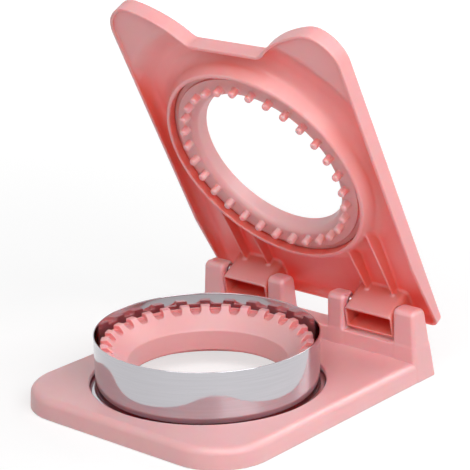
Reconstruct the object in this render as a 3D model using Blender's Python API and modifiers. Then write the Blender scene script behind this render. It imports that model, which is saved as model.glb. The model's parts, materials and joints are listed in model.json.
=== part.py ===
"""Sandwich cutter and sealer: a hinged press that cuts a round out of two slices of bread
and crimps its edge.

The design frame has the cutter ring's axis at X = Y = 0 and the table at Z = 0, with -Y
towards the user. Every lid size is given for the closed lid, which lies level on the ring.
Lengths are in metres, in plain numbers of millimetres times MM.
"""

import math

import bmesh
import bpy
from mathutils import Matrix

MM = 0.001

# Cutter ring
RING_RADIUS = 46.0 * MM
RING_WALL = 0.5 * MM
RING_TOP = 29.2 * MM
RING_EDGE_WIDTH = 0.15 * MM
RING_EDGE_DEPTH = 0.8 * MM
RING_FOOT_REACH = 4.6 * MM

# Base plate
BASE_SIDE_BORDER = 12.7 * MM
BASE_FRONT_BORDER = 11.4 * MM
BASE_CORNER_RADIUS = 23.5 * MM
BASE_PLATE_TOP = 8.7 * MM
BASE_WALL = 2.0 * MM
BASE_TOP_FILLET = 3.0 * MM
BASE_DRAFT = 2.0 * MM
OPENING_GAP = 2.2 * MM
OPENING_EDGE_FILLET = 0.6 * MM

# Hinge block and lugs
HINGE_BEHIND_RING = 23.5 * MM
HINGE_Z = 27.1 * MM
LUG_RADIUS = 3.7 * MM
LUG_FRONT_REACH = 6.1 * MM
LUG_FRONT_ROUND = 2.8 * MM
LUG_BACK_REACH = 3.2 * MM
LUG_BACK_SLOPE_RUN = 5.0 * MM
LUG_EDGE_ROUND = 1.7 * MM
LUG_WALL = 2.4 * MM
INNER_LUG_INSIDE = 12.0 * MM
INNER_LUG_OUTSIDE = 20.8 * MM
OUTER_LUG_WIDTH = 12.4 * MM
KNUCKLE_SWEEP_GAP = 0.4 * MM
SIDE_CLEARANCE = 0.4 * MM

# Hinge pins
PIN_RADIUS = 2.0 * MM
PIN_CHAMFER = 0.4 * MM
PIN_PROUD = 0.7 * MM
PIN_SOCKET_DEPTH = 5.0 * MM
PIN_CLEARANCE = 0.3 * MM

# Seal ring in the base
SEAL_TOP = 25.2 * MM
SEAL_SIDE_GAP = 2.2 * MM
SEAL_CREST_WIDTH = 2.7 * MM
SEAL_WALL = 1.7 * MM
SEAL_DRAFT = 0.6 * MM
SEAL_WIDTH = 10.9 * MM
SEAL_CONE_FOOT = 17.0 * MM
SEAL_HOLE_BOTTOM = 8.0 * MM
SEAL_EDGE_ROUND = 0.45 * MM
SEAL_FLANGE_BOTTOM = 3.9 * MM
SEAL_FLANGE_THICKNESS = 1.4 * MM
SEAL_FLANGE_REACH = 7.0 * MM
CRIMP_COUNT = 30
POCKET_RADIUS = 2.4 * MM
POCKET_INSET = 3.1 * MM
POCKET_DEPTH = 2.0 * MM
SLOT_WIDTH = 4.5 * MM
SLOT_DEPTH = 1.0 * MM

# Hooks under the plate that hold the seal ring
HOOK_COUNT = 4
HOOK_WIDTH = 9.0 * MM
HOOK_THICKNESS = 1.6 * MM
HOOK_CATCH = 1.2 * MM
HOOK_CATCH_HEIGHT = 1.0 * MM

# Lid plate
LID_SIDE_OVERHANG = 0.1 * MM
LID_FRONT_OVERHANG = 0.8 * MM
LID_BEHIND_HINGE = 11.0 * MM
LID_RIM_FACE = 29.6 * MM
LID_THICKNESS = 6.9 * MM
LID_WALL = 1.7 * MM
LID_RIM_WALL = 1.8 * MM
LID_OUTER_FILLET = 0.8 * MM
LID_LIP_ROUND = 0.4 * MM
LID_REAR_CORNER = 4.5 * MM
RIM_RISE = 3.4 * MM
RIM_RISE_RUN = 35.5 * MM
LID_COVE = 2.6 * MM
EAR_FLAT = 5.4 * MM
EAR_REACH = 15.1 * MM
EAR_CORNER_RADIUS = 15.0 * MM
EAR_SHOULDER_RADIUS = 16.5 * MM
EAR_SLOPE = math.radians(51.1)
EAR_RECESS = 1.0 * MM
EAR_COVE = 0.7 * MM
DISH_CORNER_REACH = 22.0 * MM
DISH_RADIUS = 66.5 * MM

# Collar on the lid
COLLAR_CLEARANCE = 0.6 * MM
COLLAR_WALL = 1.7 * MM
COLLAR_RIM = 26.4 * MM
COLLAR_RIM_ROUND = 0.6 * MM
FLARE_BITE = 0.4 * MM

# Press ring in the lid
PRESS_LEDGE = 29.0 * MM
PRESS_SIDE_GAP = 2.3 * MM
PRESS_HOLE_MARGIN = 2.0 * MM
PRESS_CONE_REACH = 2.6 * MM
PRESS_CONE_RISE = 0.6 * MM
PRESS_WALL = 1.8 * MM
PRESS_SPIGOT_WALL = 2.5 * MM
PRESS_SPIGOT_RECESS = 0.3 * MM
PEG_INSET = 3.85 * MM
PEG_RADIUS = 1.65 * MM
PEG_TIP = 24.9 * MM
PEG_TIP_ROUND = 1.1 * MM
PEG_FOOT_DEPTH = 0.6 * MM

# Knuckles and ribs on the lid
KNUCKLE_WALL = 1.4 * MM
KNUCKLE_FRONT_REACH = 2.2 * MM
KNUCKLE_FRONT_DROP = 6.0 * MM
KNUCKLE_FRONT_LEAN = 1.9 * MM
KNUCKLE_REAR_REACH = 7.4 * MM
KNUCKLE_REAR_DROP = 8.6 * MM
KNUCKLE_EDGE_ROUND = 2.0 * MM
RIB_SPACING = 12.6 * MM
RIB_THICKNESS = 1.5 * MM
RIB_COLLAR_HEIGHT = 7.8 * MM
RIB_KNUCKLE_HEIGHT = 0.6 * MM

# General
SEAT_GAP = 0.3 * MM
OVERRUN = 3.0 * MM
WELD = 0.001 * MM
REST_OPENING = math.radians(62.5)
TURN_STEPS = 60
POCKET_STEPS = 8
PIN_STEPS = 16
PEG_STEPS = 8
ARC_STEPS = 8
FILLET_STEPS = 3
FLARE_STEPS = 5

# Places worked out from the sizes above
BASE_HALF_WIDTH = RING_RADIUS + BASE_SIDE_BORDER
BASE_FRONT = RING_RADIUS + BASE_FRONT_BORDER
HINGE_Y = RING_RADIUS + HINGE_BEHIND_RING
OUTER_LUG_INSIDE = BASE_HALF_WIDTH - OUTER_LUG_WIDTH
LID_HALF_WIDTH = BASE_HALF_WIDTH + LID_SIDE_OVERHANG
LID_FRONT = BASE_FRONT + LID_FRONT_OVERHANG
LID_REAR = HINGE_Y + LID_BEHIND_HINGE
LID_OUTER_FACE = LID_RIM_FACE + LID_THICKNESS
LID_FLOOR = LID_OUTER_FACE - LID_WALL
COLLAR_INNER_RADIUS = RING_RADIUS + COLLAR_CLEARANCE
COLLAR_OUTER_RADIUS = COLLAR_INNER_RADIUS + COLLAR_WALL
COLLAR_FLARE_RADIUS = LID_HALF_WIDTH - LID_RIM_WALL + FLARE_BITE
OPENING_RADIUS = RING_RADIUS + OPENING_GAP
SEAL_OUTER_RADIUS = RING_RADIUS - RING_WALL - SEAL_SIDE_GAP
SEAL_HOLE_RADIUS = SEAL_OUTER_RADIUS - SEAL_WIDTH
SEAL_FLANGE_RADIUS = RING_RADIUS + SEAL_FLANGE_REACH
POCKET_CIRCLE_RADIUS = SEAL_OUTER_RADIUS - POCKET_INSET
SEAL_FLANGE_TOP = SEAL_FLANGE_BOTTOM + SEAL_FLANGE_THICKNESS
RING_BOTTOM = SEAL_FLANGE_TOP + SEAT_GAP
RING_FOOT_RADIUS = RING_RADIUS + RING_FOOT_REACH
SKIRT_BOTTOM = RING_BOTTOM + RING_WALL + SEAT_GAP
PLATE_UNDERSIDE = BASE_PLATE_TOP - BASE_WALL
LUG_FRONT = HINGE_Y - LUG_FRONT_REACH
LUG_BACK = HINGE_Y + LUG_BACK_REACH
LUG_TOP = HINGE_Z + LUG_RADIUS
BASE_REAR = LUG_BACK + LUG_BACK_SLOPE_RUN
KNUCKLE_INSIDE = INNER_LUG_OUTSIDE + SIDE_CLEARANCE
KNUCKLE_OUTSIDE = OUTER_LUG_INSIDE - SIDE_CLEARANCE
KNUCKLE_SWEEP = math.hypot(KNUCKLE_REAR_REACH, KNUCKLE_REAR_DROP)
SILL_TOP = HINGE_Z - KNUCKLE_SWEEP - KNUCKLE_SWEEP_GAP
PRESS_OUTER_RADIUS = COLLAR_INNER_RADIUS - PRESS_SIDE_GAP
PRESS_HOLE_RADIUS = SEAL_HOLE_RADIUS + PRESS_HOLE_MARGIN
PRESS_CONE_RADIUS = PRESS_HOLE_RADIUS + PRESS_CONE_REACH
SPIGOT_RADIUS = PRESS_HOLE_RADIUS + PRESS_SPIGOT_WALL
PEG_CIRCLE_RADIUS = SEAL_OUTER_RADIUS - PEG_INSET


def clear_scene():
    for obj in list(bpy.data.objects):
        bpy.data.objects.remove(obj, do_unlink=True)


def new_collection(name, hidden=False):
    collection = bpy.data.collections.new(name)
    bpy.context.scene.collection.children.link(collection)
    collection.hide_render = hidden
    return collection


def plain_material(name, colour, roughness, metallic=0.0):
    material = bpy.data.materials.new(name)
    material.use_nodes = True
    shader = material.node_tree.nodes["Principled BSDF"]
    shader.inputs["Base Color"].default_value = (*colour, 1.0)
    shader.inputs["Roughness"].default_value = roughness
    shader.inputs["Metallic"].default_value = metallic
    return material


def place(mesh, name, collection, parent):
    obj = bpy.data.objects.new(name, mesh)
    collection.objects.link(obj)
    obj.parent = parent
    return obj


def as_part(obj, material):
    obj.data.materials.clear()
    obj.data.materials.append(material)
    obj.data.shade_smooth()
    obj.data.set_sharp_from_angle(angle=math.radians(35.0))
    return obj


def as_tool(obj):
    obj.hide_render = True
    obj.display_type = "WIRE"
    return obj


def combine(obj, tool, operation, solver="EXACT"):
    modifier = obj.modifiers.new(f"{operation.lower()}_{tool.name}", "BOOLEAN")
    modifier.operation = operation
    modifier.solver = solver
    modifier.object = as_tool(tool)


def from_bmesh(bm, name):
    mesh = bpy.data.meshes.new(name)
    bmesh.ops.recalc_face_normals(bm, faces=bm.faces)
    bm.to_mesh(mesh)
    bm.free()
    return mesh


def arc(centre, radius, start, end, steps=ARC_STEPS):
    """Points on a circle from one angle to another, in degrees, both ends included."""
    angles = [math.radians(start + (end - start) * i / steps) for i in range(steps + 1)]
    return [(centre[0] + radius * math.cos(a), centre[1] + radius * math.sin(a)) for a in angles]


def slab(name, outline, low, high):
    """A flat outline filled and thickened between two heights, as a welded mesh."""
    curve = bpy.data.curves.new(name, "CURVE")
    curve.dimensions = "2D"
    curve.fill_mode = "BOTH"
    curve.extrude = (high - low) / 2
    spline = curve.splines.new("POLY")
    spline.points.add(len(outline) - 1)
    for point, (u, v) in zip(spline.points, outline):
        point.co = (u, v, 0.0, 1.0)
    spline.use_cyclic_u = True
    guide = bpy.data.objects.new(name, curve)
    bpy.context.scene.collection.objects.link(guide)
    graph = bpy.context.evaluated_depsgraph_get()
    mesh = bpy.data.meshes.new_from_object(guide.evaluated_get(graph), depsgraph=graph)
    bpy.data.objects.remove(guide)
    bm = bmesh.new()
    bm.from_mesh(mesh)
    bpy.data.meshes.remove(mesh)
    bmesh.ops.remove_doubles(bm, verts=bm.verts, dist=WELD)
    bmesh.ops.dissolve_limit(bm, angle_limit=math.radians(0.5), verts=bm.verts, edges=bm.edges)
    bmesh.ops.translate(bm, verts=bm.verts, vec=(0, 0, (high + low) / 2))
    return bm


def round_edges(bm, chosen, radius, steps):
    edges = [edge for edge in bm.edges if chosen(edge)]
    if edges and radius > 0:
        bmesh.ops.bevel(
            bm, geom=edges, offset=radius, offset_type="OFFSET", segments=steps,
            profile=0.5, affect="EDGES", clamp_overlap=True,
        )


def at_height(height):
    return lambda edge: all(abs(v.co.z - height) < WELD for v in edge.verts)


def side_slab(name, outline, low, high):
    """A slab whose outline is drawn in Y and Z and that is thick along X."""
    bm = slab(name, outline, low, high)
    turn = Matrix.Rotation(math.radians(90.0), 4, "Z") @ Matrix.Rotation(math.radians(90.0), 4, "X")
    bmesh.ops.transform(bm, matrix=turn, verts=bm.verts)
    return bm


def boxes(corners):
    bm = bmesh.new()
    for low, high in corners:
        size = [b - a for a, b in zip(low, high)]
        middle = [(a + b) / 2 for a, b in zip(low, high)]
        matrix = Matrix.Translation(middle) @ Matrix.Diagonal((*size, 1.0))
        bmesh.ops.create_cube(bm, size=1.0, matrix=matrix)
    return bm


def cylinders(places, radius, steps=PIN_STEPS):
    """Cylinders along X, each given as (start x, end x, y, z)."""
    bm = bmesh.new()
    for start, end, y, z in places:
        matrix = Matrix.Translation(((start + end) / 2, y, z)) @ Matrix.Rotation(math.radians(90.0), 4, "Y")
        bmesh.ops.create_cone(
            bm, cap_ends=True, segments=steps, radius1=radius, radius2=radius,
            depth=abs(end - start), matrix=matrix,
        )
    return bm


def turned(name, profile, collection, parent, closed=True):
    """A profile of (radius, height) points, down its outer side first, turned about Z."""
    mesh = bpy.data.meshes.new(name)
    count = len(profile)
    edges = [(i, (i + 1) % count) for i in range(count if closed else count - 1)]
    mesh.from_pydata([(r, 0.0, z) for r, z in profile], edges, [])
    obj = place(mesh, name, collection, parent)
    screw = obj.modifiers.new("turn", "SCREW")
    screw.axis = "Z"
    screw.steps = TURN_STEPS
    screw.render_steps = TURN_STEPS
    screw.use_merge_vertices = True
    screw.merge_threshold = WELD
    screw.use_normal_calculate = False
    return obj


def mirrored(spans):
    """Each X span on the right with its copy on the left."""
    return list(spans) + [(-high, -low) for low, high in spans]


# Base shell

def base_outline(inset, rear):
    half, front = BASE_HALF_WIDTH - inset, BASE_FRONT - inset
    corner = BASE_CORNER_RADIUS - inset
    points = arc((half - corner, corner - front), corner, -90, 0, 2 * ARC_STEPS)
    points += [(half, rear)]
    return points + [(-x, y) for x, y in reversed(points)]


def taper(bm, height, share):
    """Draws the sides in towards Z, in proportion to height."""
    for vert in bm.verts:
        ratio = 1.0 - share * vert.co.z / height
        vert.co.x *= ratio
        if vert.co.y < 0:
            vert.co.y *= ratio


def draft_share(height):
    return BASE_DRAFT / BASE_HALF_WIDTH * height / LUG_TOP


def base_plate():
    bm = slab("base_plate", base_outline(0, HINGE_Y), 0, BASE_PLATE_TOP)
    taper(bm, BASE_PLATE_TOP, draft_share(BASE_PLATE_TOP))
    front_and_sides = at_height(BASE_PLATE_TOP)
    round_edges(
        bm, lambda edge: front_and_sides(edge) and min(v.co.y for v in edge.verts) < LUG_FRONT,
        BASE_TOP_FILLET, FILLET_STEPS,
    )
    return bm


def lug_profile():
    """The hinge block from the side: upright front, round-cornered top and sloping back."""
    points = [(LUG_FRONT, 0.0), (BASE_REAR, 0.0)]
    for y, z in arc((0, 0), LUG_RADIUS, 0, 90, 6):
        points.append((HINGE_Y + y * LUG_BACK_REACH / LUG_RADIUS, HINGE_Z + z))
    corner = (LUG_FRONT + LUG_FRONT_ROUND, LUG_TOP - LUG_FRONT_ROUND)
    return points + arc(corner, LUG_FRONT_ROUND, 90, 180, 6)


def hinge_block(collection, parent):
    half = BASE_HALF_WIDTH
    bm = side_slab("hinge_block", lug_profile(), -half, half)
    taper(bm, LUG_TOP, draft_share(LUG_TOP))
    block = place(from_bmesh(bm, "hinge_block"), "hinge_block", collection, parent)
    gaps = mirrored([(INNER_LUG_OUTSIDE, OUTER_LUG_INSIDE)]) + [(-INNER_LUG_INSIDE, INNER_LUG_INSIDE)]
    low_y, high_y = LUG_FRONT - OVERRUN, BASE_REAR + OVERRUN
    notch = boxes([((a, low_y, SILL_TOP), (b, high_y, LUG_TOP + OVERRUN)) for a, b in gaps])
    combine(block, place(from_bmesh(notch, "lug_gaps"), "lug_gaps", collection, parent), "DIFFERENCE")
    rounding = block.modifiers.new("round_edges", "BEVEL")
    rounding.width = LUG_EDGE_ROUND
    rounding.segments = FILLET_STEPS
    rounding.limit_method = "ANGLE"
    rounding.angle_limit = math.radians(50.0)
    rounding.harden_normals = False
    return block


def block_hollow(name, low, high, top, wall):
    """A hollow in the hinge block, one wall inside its upright front and its sloping back."""
    front, back = LUG_FRONT + wall, BASE_REAR - wall
    run = LUG_BACK_SLOPE_RUN * top / HINGE_Z
    outline = [(front, -OVERRUN), (back, -OVERRUN), (back, 0), (back - run, top), (front, top)]
    return side_slab(name, outline, low, high)


def base_hollows():
    """Everything that is scooped out of the base from below."""
    inset = BASE_WALL + draft_share(BASE_PLATE_TOP) * BASE_HALF_WIDTH
    outer = BASE_HALF_WIDTH - BASE_DRAFT - BASE_WALL
    hollows = [
        slab("main_hollow", base_outline(inset, HINGE_Y), -OVERRUN, PLATE_UNDERSIDE),
        block_hollow("sill_hollow", -outer, outer, SILL_TOP - BASE_WALL, BASE_WALL),
    ]
    spans = [
        (INNER_LUG_INSIDE + LUG_WALL, INNER_LUG_OUTSIDE - LUG_WALL),
        (OUTER_LUG_INSIDE + LUG_WALL, BASE_HALF_WIDTH - BASE_DRAFT - LUG_WALL),
    ]
    for number, (low, high) in enumerate(mirrored(spans)):
        well_top = HINGE_Z - PIN_RADIUS - LUG_WALL
        hollows.append(block_hollow(f"lug_well_{number}", low, high, well_top, LUG_WALL))
    return hollows


def pin_spans(depth, reach):
    """The X spans of the four pins, from this deep in a lug to this far out of it."""
    spans = {}
    for name, side in (("left", -1), ("right", 1)):
        inner, outer = side * INNER_LUG_OUTSIDE, side * OUTER_LUG_INSIDE
        spans[f"{name}_inner"] = (inner - side * depth, inner + side * reach)
        spans[f"{name}_outer"] = (outer + side * depth, outer - side * reach)
    return spans


def pin_sockets():
    spans = pin_spans(PIN_SOCKET_DEPTH + SEAT_GAP, SIDE_CLEARANCE / 2).values()
    places = [(start, end, HINGE_Y, HINGE_Z) for start, end in spans]
    return cylinders(places, PIN_RADIUS + SEAT_GAP)


def seal_hooks():
    """Fingers that hang from the plate and catch under the seal ring's flange."""
    bm = bmesh.new()
    inner = SEAL_FLANGE_RADIUS + SEAT_GAP
    catch_top = SEAL_FLANGE_BOTTOM - SEAT_GAP
    catch_low = catch_top - HOOK_CATCH_HEIGHT
    for i in range(HOOK_COUNT):
        turn = Matrix.Rotation(math.radians(360.0 * (i + 0.5) / HOOK_COUNT), 4, "Z")
        outline = [
            (inner + HOOK_THICKNESS, catch_low),
            (inner + HOOK_THICKNESS, PLATE_UNDERSIDE + BASE_WALL / 2),
            (inner, PLATE_UNDERSIDE + BASE_WALL / 2),
            (inner, catch_top),
            (inner - HOOK_CATCH, catch_top),
            (inner, catch_low),
        ]
        hook = slab("hook", outline, -HOOK_WIDTH / 2, HOOK_WIDTH / 2)
        upright = Matrix.Rotation(math.radians(90.0), 4, "X")
        bmesh.ops.transform(hook, matrix=turn @ upright, verts=hook.verts)
        piece = from_bmesh(hook, "hook")
        bm.from_mesh(piece)
        bpy.data.meshes.remove(piece)
    return bm


def make_base_shell(parts, tools, parent, material):
    shell = place(from_bmesh(base_plate(), "base_shell"), "base_shell", parts, parent)
    combine(shell, hinge_block(tools, parent), "UNION")
    for number, bm in enumerate(base_hollows()):
        name = f"base_hollow_{number}"
        combine(shell, place(from_bmesh(bm, name), name, tools, parent), "DIFFERENCE")
    sockets = place(from_bmesh(pin_sockets(), "pin_sockets"), "pin_sockets", tools, parent)
    combine(shell, sockets, "DIFFERENCE")
    combine(shell, place(from_bmesh(seal_hooks(), "hooks"), "hooks", tools, parent), "UNION")
    skirt = [
        (RING_FOOT_RADIUS, PLATE_UNDERSIDE + BASE_WALL / 2),
        (RING_FOOT_RADIUS, SKIRT_BOTTOM),
        (OPENING_RADIUS - OVERRUN, SKIRT_BOTTOM),
        (OPENING_RADIUS - OVERRUN, PLATE_UNDERSIDE + BASE_WALL / 2),
    ]
    combine(shell, turned("skirt", skirt, tools, parent), "UNION")
    edge = OPENING_EDGE_FILLET
    above = BASE_PLATE_TOP + OVERRUN
    hole = [(0, above), (OPENING_RADIUS + edge, above)]
    hole += arc((OPENING_RADIUS + edge, BASE_PLATE_TOP - edge), edge, 90, 180, 3)
    hole += [(OPENING_RADIUS, -OVERRUN), (0, -OVERRUN)]
    combine(shell, turned("opening", hole, tools, parent, closed=False), "DIFFERENCE")
    return as_part(shell, material)


# Hinge pins

def make_hinge_pins(parts, parent, material):
    reach = SIDE_CLEARANCE + KNUCKLE_WALL + PIN_PROUD
    for name, (start, end) in pin_spans(PIN_SOCKET_DEPTH, reach).items():
        bm = cylinders([(start, end, HINGE_Y, HINGE_Z)], PIN_RADIUS)
        ends = (start, end)
        round_edges(
            bm, lambda edge: any(all(abs(v.co.x - x) < WELD for v in edge.verts) for x in ends),
            PIN_CHAMFER, 1,
        )
        as_part(place(from_bmesh(bm, "pin"), f"hinge_pin_{name}", parts, parent), material)


# Cutter ring

def make_cutter_ring(parts, parent, material):
    inner = RING_RADIUS - RING_WALL
    profile = [
        (inner + RING_EDGE_WIDTH, RING_TOP),
        (RING_RADIUS, RING_TOP - RING_EDGE_DEPTH),
        (RING_RADIUS, RING_BOTTOM + RING_WALL),
        (RING_FOOT_RADIUS, RING_BOTTOM + RING_WALL),
        (RING_FOOT_RADIUS, RING_BOTTOM),
        (inner, RING_BOTTOM),
        (inner, RING_TOP),
    ]
    return as_part(turned("cutter_ring", profile, parts, parent), material)


# Seal ring in the base

def seal_profile():
    rounding = SEAL_EDGE_ROUND
    outer, top = SEAL_OUTER_RADIUS, SEAL_TOP
    crest = outer - SEAL_CREST_WIDTH
    foot = outer + SEAL_DRAFT
    slope = math.atan2(top - SEAL_CONE_FOOT, crest - SEAL_HOLE_RADIUS)
    under = SEAL_WALL / math.cos(slope)
    inside = outer - SEAL_WALL
    cone_under = SEAL_CONE_FOOT - under + (inside - SEAL_HOLE_RADIUS) * math.tan(slope)
    shell_top = min(top - SEAL_WALL - POCKET_DEPTH, cone_under)
    run = (shell_top - SEAL_CONE_FOOT + under) / math.tan(slope)
    profile = arc((outer - rounding, top - rounding), rounding, 90, 0, 2)
    profile += [
        (foot, SEAL_FLANGE_TOP),
        (SEAL_FLANGE_RADIUS, SEAL_FLANGE_TOP),
        (SEAL_FLANGE_RADIUS, SEAL_FLANGE_BOTTOM),
        (foot - SEAL_WALL, SEAL_FLANGE_BOTTOM),
        (inside, shell_top),
        (min(SEAL_HOLE_RADIUS + run, inside - SEAL_WALL), shell_top),
        (SEAL_HOLE_RADIUS + SEAL_WALL, SEAL_CONE_FOOT - under + SEAL_WALL * math.tan(slope)),
        (SEAL_HOLE_RADIUS + SEAL_WALL, SEAL_HOLE_BOTTOM),
        (SEAL_HOLE_RADIUS, SEAL_HOLE_BOTTOM),
        (SEAL_HOLE_RADIUS, SEAL_CONE_FOOT),
    ]
    return profile + arc((crest, top - rounding), rounding, 90 + math.degrees(slope), 90, 2)


def crimp_turns():
    """A turn about the ring's axis for each crimp, opposite a peg of the press ring."""
    return [Matrix.Rotation(2 * math.pi * (i + 0.5) / CRIMP_COUNT, 4, "Z") for i in range(CRIMP_COUNT)]


def crimp_pockets():
    """Round pockets that the pegs press the bread into."""
    bm = bmesh.new()
    depth = POCKET_DEPTH + OVERRUN
    out = Matrix.Translation((POCKET_CIRCLE_RADIUS, 0, SEAL_TOP - POCKET_DEPTH + depth / 2))
    for turn in crimp_turns():
        bmesh.ops.create_cone(
            bm, cap_ends=True, segments=POCKET_STEPS, radius1=POCKET_RADIUS, radius2=POCKET_RADIUS,
            depth=depth, matrix=turn @ out,
        )
    return bm


def crimp_slots():
    """Shallower square cuts through the rim, from each pocket outwards."""
    bm = bmesh.new()
    low = (POCKET_CIRCLE_RADIUS, -SLOT_WIDTH / 2, SEAL_TOP - SLOT_DEPTH)
    high = (SEAL_OUTER_RADIUS + OVERRUN, SLOT_WIDTH / 2, SEAL_TOP + OVERRUN)
    for turn in crimp_turns():
        slot = boxes([(low, high)])
        bmesh.ops.transform(slot, matrix=turn, verts=slot.verts)
        piece = from_bmesh(slot, "slot")
        bm.from_mesh(piece)
        bpy.data.meshes.remove(piece)
    return bm


def make_seal_ring(parts, tools, parent, material):
    ring = turned("base_seal_ring", seal_profile(), parts, parent)
    for name, bm in (("crimp_pockets", crimp_pockets()), ("crimp_slots", crimp_slots())):
        combine(ring, place(from_bmesh(bm, name), name, tools, parent), "DIFFERENCE")
    return as_part(ring, material)


# Lid shell, in the closed place and about the hinge axis

def lid_outline(inset):
    """A square-shouldered plate with a rounded ear at each front corner."""
    half, front, rear = LID_HALF_WIDTH - inset, LID_FRONT - inset, LID_REAR - inset
    ear_tip = LID_FRONT + EAR_REACH
    ear_corner = (LID_HALF_WIDTH - EAR_CORNER_RADIUS, EAR_CORNER_RADIUS - ear_tip)
    shoulder = (ear_corner[0] - EAR_FLAT, EAR_SHOULDER_RADIUS - ear_tip)
    flank_reach = EAR_SHOULDER_RADIUS - (shoulder[1] + LID_FRONT) * math.cos(EAR_SLOPE)
    ear_root = shoulder[0] - flank_reach / math.sin(EAR_SLOPE) + inset * math.tan(EAR_SLOPE / 2)
    corner = LID_REAR_CORNER
    points = [(ear_root, -front)]
    points += arc(shoulder, EAR_SHOULDER_RADIUS - inset, -90 - math.degrees(EAR_SLOPE), -90)
    points += arc(ear_corner, EAR_CORNER_RADIUS - inset, -90, 0)
    points += arc((half - corner, rear - corner), corner, 0, 90, 4)
    return points + [(-x, y) for x, y in reversed(points)]


def dish_outline():
    """The deep part of the lid: the plate inside its rim, less the two ears."""
    half, front, rear = LID_HALF_WIDTH - LID_RIM_WALL, LID_FRONT - LID_RIM_WALL, LID_REAR - LID_RIM_WALL
    reach = DISH_CORNER_REACH
    half_chord = reach / math.sqrt(2)
    back_off = (math.sqrt(DISH_RADIUS**2 - half_chord**2) - half_chord) / math.sqrt(2)
    spread = math.degrees(math.asin(half_chord / DISH_RADIUS))
    centre = (half - reach - back_off, reach - front + back_off)
    points = arc(centre, DISH_RADIUS, -45 - spread, -45 + spread)
    corner = LID_REAR_CORNER - LID_RIM_WALL
    points += arc((half - corner, rear - corner), corner, 0, 90, 3)
    return points + [(-x, y) for x, y in reversed(points)]


def lid_plate():
    bm = slab("lid_shell", lid_outline(0), LID_RIM_FACE, LID_OUTER_FACE)
    round_edges(bm, at_height(LID_OUTER_FACE), LID_OUTER_FILLET, FILLET_STEPS)
    round_edges(bm, at_height(LID_RIM_FACE), LID_LIP_ROUND, 2)
    return bm


def lid_recesses():
    """The shallow ears, the dish, and the wedge that lets the rim rise towards the hinge."""
    low = LID_RIM_FACE - OVERRUN
    ears = slab("ear_recess", lid_outline(LID_RIM_WALL), low, LID_RIM_FACE + EAR_RECESS)
    round_edges(ears, at_height(LID_RIM_FACE + EAR_RECESS), EAR_COVE, 2)
    dish = slab("lid_dish", dish_outline(), low, LID_FLOOR)
    round_edges(dish, at_height(LID_FLOOR), LID_COVE, FILLET_STEPS)
    start, end = LID_REAR - RIM_RISE_RUN - OVERRUN, LID_REAR + OVERRUN
    overrise = OVERRUN * RIM_RISE / RIM_RISE_RUN
    wedge = [(start, low), (end, low)]
    wedge += [(end, LID_RIM_FACE + RIM_RISE + overrise), (start, LID_RIM_FACE - overrise)]
    width = LID_HALF_WIDTH + OVERRUN
    return ears, dish, side_slab("rim_rise", wedge, -width, width)


def collar_profile():
    """Rim, outer flare that runs out into the lid's floor, and the hole's wall."""
    rounding = COLLAR_RIM_ROUND
    start = COLLAR_RIM + rounding
    reach = COLLAR_FLARE_RADIUS - COLLAR_OUTER_RADIUS
    rise = LID_FLOOR - start
    profile = [(COLLAR_FLARE_RADIUS, LID_FLOOR + LID_WALL / 2)]
    for i in range(FLARE_STEPS, -1, -1):
        a = math.radians(90.0 * i / FLARE_STEPS)
        profile.append((COLLAR_FLARE_RADIUS - reach * math.cos(a), start + rise * math.sin(a)))
    inner = COLLAR_INNER_RADIUS
    profile += arc((COLLAR_OUTER_RADIUS - rounding, start), rounding, 0, -90, 2)[1:]
    profile += arc((inner + rounding, start), rounding, -90, -180, 2)
    profile += [(inner, LID_FLOOR + LID_WALL / 2)]
    return profile


def knuckle_profile(inset):
    """A knuckle from the side: leaning front wall, upright rear wall, open lower end."""
    front_low = (HINGE_Y - KNUCKLE_FRONT_REACH + inset, HINGE_Z - KNUCKLE_FRONT_DROP)
    rear_low = (HINGE_Y + KNUCKLE_REAR_REACH - inset, HINGE_Z - KNUCKLE_REAR_DROP)
    top = LID_FLOOR + LID_WALL / 2 if inset == 0 else LID_FLOOR
    rear_top = (LID_REAR - LID_OUTER_FILLET / 2 - inset, top)
    return [front_low, rear_low, rear_top, (front_low[0] - KNUCKLE_FRONT_LEAN, top)]


def upright(edge):
    return abs(edge.verts[0].co.z - edge.verts[1].co.z) > KNUCKLE_REAR_DROP


def lid_knuckles():
    bm = bmesh.new()
    for low, high in mirrored([(KNUCKLE_INSIDE, KNUCKLE_OUTSIDE)]):
        box = side_slab("knuckle", knuckle_profile(0), low, high)
        round_edges(box, upright, KNUCKLE_EDGE_ROUND, FILLET_STEPS)
        piece = from_bmesh(box, "knuckle")
        bm.from_mesh(piece)
        bpy.data.meshes.remove(piece)
    return bm


def knuckle_pockets():
    bm = bmesh.new()
    wall = KNUCKLE_WALL
    for low, high in mirrored([(KNUCKLE_INSIDE + wall, KNUCKLE_OUTSIDE - wall)]):
        outline = knuckle_profile(wall)
        front, rear = outline[0], outline[1]
        lean = KNUCKLE_FRONT_LEAN * OVERRUN / (LID_FLOOR - front[1])
        outline[0] = (front[0] + lean, front[1] - OVERRUN)
        outline[1] = (rear[0], rear[1] - OVERRUN)
        piece = from_bmesh(side_slab("pocket", outline, low, high), "pocket")
        bm.from_mesh(piece)
        bpy.data.meshes.remove(piece)
    return bm


def pivot_holes():
    reach = SIDE_CLEARANCE + KNUCKLE_WALL + PIN_PROUD + PIN_CLEARANCE
    spans = pin_spans(SIDE_CLEARANCE, reach).values()
    places = [(start, end, HINGE_Y, HINGE_Z) for start, end in spans]
    return cylinders(places, PIN_RADIUS + PIN_CLEARANCE)


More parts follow.
